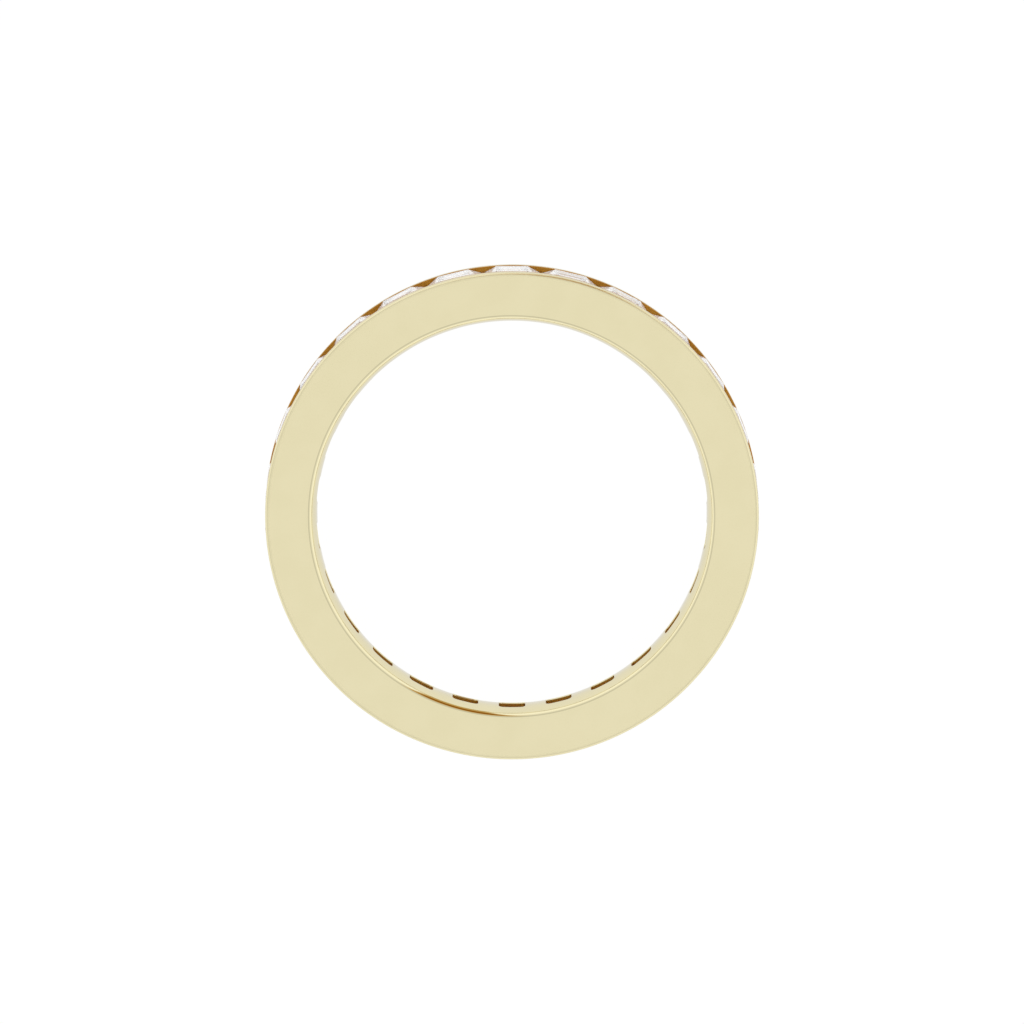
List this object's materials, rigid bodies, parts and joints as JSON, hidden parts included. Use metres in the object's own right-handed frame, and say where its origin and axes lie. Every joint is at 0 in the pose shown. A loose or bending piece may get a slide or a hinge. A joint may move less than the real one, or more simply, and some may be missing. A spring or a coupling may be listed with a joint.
{
  "type": "eternity band",
  "caption": "Gold finger ring with a comfort-fit bore, flat sides and a channel that holds rectangular step-cut white stones end to end all the way round.",
  "frame": {"origin": "centre of the ring's axis at the height of its lower face, on which it lies", "axes": "+Z along the ring's axis, upwards from the surface that it lies on; +Y towards the stone at the top of the picture"},
  "size_m": [0.022, 0.022, 0.0025],
  "materials": {
    "gold": "polished pale yellow gold",
    "white_stone": "clear colourless faceted stone"
  },
  "bodies": {
    "root": {"band": "gold", "stone_01": "white_stone", "stone_02": "white_stone", "stone_03": "white_stone", "stone_04": "white_stone", "stone_05": "white_stone", "stone_06": "white_stone", "stone_07": "white_stone", "stone_08": "white_stone", "stone_09": "white_stone", "stone_10": "white_stone", "stone_11": "white_stone", "stone_12": "white_stone", "stone_13": "white_stone", "stone_14": "white_stone", "stone_15": "white_stone", "stone_16": "white_stone", "stone_17": "white_stone", "stone_18": "white_stone", "stone_19": "white_stone", "stone_20": "white_stone", "stone_21": "white_stone", "stone_22": "white_stone", "stone_23": "white_stone", "stone_24": "white_stone", "stone_25": "white_stone", "stone_26": "white_stone"}
  },
  "joints": []
}
